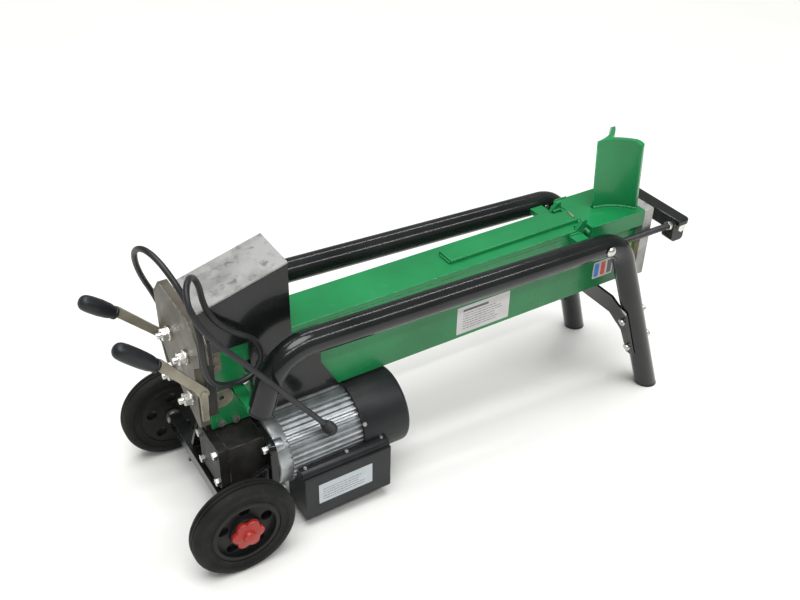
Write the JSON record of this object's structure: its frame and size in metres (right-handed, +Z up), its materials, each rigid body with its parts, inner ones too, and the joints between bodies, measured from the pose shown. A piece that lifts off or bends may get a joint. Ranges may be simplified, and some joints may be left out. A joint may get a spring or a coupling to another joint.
{
  "type": "electric log splitter",
  "caption": "Small horizontal electric hydraulic log splitter: green beam with a curved splitting wedge, sliding pusher, black cradle tubes as legs, two wheels, motor and two control levers.",
  "frame": {"origin": "on the floor under the middle of the machine's bounding box, the mains lead left out", "axes": "+X towards the wedge and handle end, +Y away from the side of the motor's terminal box, +Z up"},
  "size_m": [0.9022, 0.3785, 0.4239],
  "materials": {
    "green_paint": "semi-gloss enamel",
    "black_paint": "gloss powder coat",
    "grey_zinc": "dull zinc",
    "bright_steel": "zinc plated",
    "ground_steel": "ground",
    "steel_tube": "honed tube",
    "laminated_steel": "laminated",
    "cast_metal": "dark casting",
    "motor_aluminium": "die cast",
    "tyre_rubber": "solid rubber",
    "wheel_plastic": "moulded",
    "red_plastic": "moulded",
    "black_plastic": "moulded",
    "cord_rubber": "rubber sheath",
    "label_foil": "printed foil",
    "pad_plastic": "wear plastic"
  },
  "bodies": {
    "frame": {"axle": "bright_steel", "axle_carrier": "black_paint", "beam_end_plate": "grey_zinc", "beam_side_plates": "green_paint", "beam_top_plate": "green_paint", "beam_wear_strip": "green_paint", "cable_gland": "cord_rubber", "capacitor": "black_plastic", "cord": "cord_rubber", "cord_coil": "cord_rubber", "cradle_tube_far": "black_paint", "cradle_tube_near": "black_paint", "cylinder_rod": "ground_steel", "fan_cover": "black_paint", "frame_bolts": "bright_steel", "handle_fixings": "bright_steel", "handle_grip": "black_paint", "handle_rods": "black_paint", "labels": "label_foil", "leg_cross_plate": "black_paint", "mains_plug": "black_plastic", "motor_adapter_plate": "black_paint", "motor_bearings": "ground_steel", "motor_bolts": "bright_steel", "motor_frame": "motor_aluminium", "motor_front_bell": "motor_aluminium", "motor_stator": "laminated_steel", "pump_body": "cast_metal", "pump_cover": "cast_metal", "side_fittings": "grey_zinc", "terminal_box": "black_plastic", "terminal_box_lid": "black_plastic", "tube_lugs": "green_paint", "tube_plugs": "black_plastic", "valve_block": "cast_metal", "valve_plate": "grey_zinc", "valve_studs": "bright_steel", "wedge_base": "green_paint", "wedge_blade": "green_paint"},
    "ram": {"pusher_yoke": "black_paint", "pusher_cheeks": "black_paint", "pusher_bolts": "bright_steel", "pusher_front_plate": "black_paint", "pusher_top_cover": "grey_zinc", "pusher_slide_pads": "pad_plastic", "cylinder_barrel": "steel_tube"},
    "wheel_near": {"tyre_near": "tyre_rubber", "hub_near": "wheel_plastic", "hub_cap_near": "red_plastic"},
    "wheel_far": {"tyre_far": "tyre_rubber", "hub_far": "wheel_plastic", "hub_cap_far": "red_plastic"},
    "lever_near": {"lever_arm_near": "bright_steel", "lever_grip_near": "black_plastic"},
    "lever_far": {"lever_arm_far": "bright_steel", "lever_grip_far": "black_plastic"},
    "rotor": {"motor_rotor": "laminated_steel", "fan": "black_paint", "pump_gear_drive": "ground_steel"},
    "driven_gear": {"pump_gear_driven": "ground_steel"}
  },
  "joints": [
    {"name": "ram_slide", "type": "slide", "parent": "frame", "child": "ram", "axis": [0.999, 0, 0.0448], "range_m": [0, 0.295]},
    {"name": "wheel_near_spin", "type": "hinge", "parent": "frame", "child": "wheel_near", "pos_m": [-0.33515, -0.1275, 0.07], "axis": [0, 1, 0], "continuous": true},
    {"name": "wheel_far_spin", "type": "hinge", "parent": "frame", "child": "wheel_far", "pos_m": [-0.33515, 0.1275, 0.07], "axis": [0, 1, 0], "continuous": true},
    {"name": "lever_near_turn", "type": "hinge", "parent": "frame", "child": "lever_near", "pos_m": [-0.34886, -0.056, 0.23863], "axis": [0, -1, 0], "range_deg": [0, 20], "stiffness_Nm_per_rad": 6},
    {"name": "lever_far_turn", "type": "hinge", "parent": "frame", "child": "lever_far", "pos_m": [-0.33683, 0.076, 0.23816], "axis": [0, -1, 0], "range_deg": [0, 20], "stiffness_Nm_per_rad": 6},
    {"name": "rotor_spin", "type": "hinge", "parent": "frame", "child": "rotor", "pos_m": [-0.2095, -0.04, 0.09974], "axis": [0.999, 0, 0.0448], "continuous": true},
    {"name": "driven_gear_spin", "type": "hinge", "parent": "frame", "child": "driven_gear", "pos_m": [-0.30484, -0.04, 0.12749], "axis": [0.999, 0, 0.0448], "continuous": true}
  ],
  "couplings": [
    {"joint": "driven_gear_spin", "follows": "rotor_spin", "ratio": -1}
  ]
}
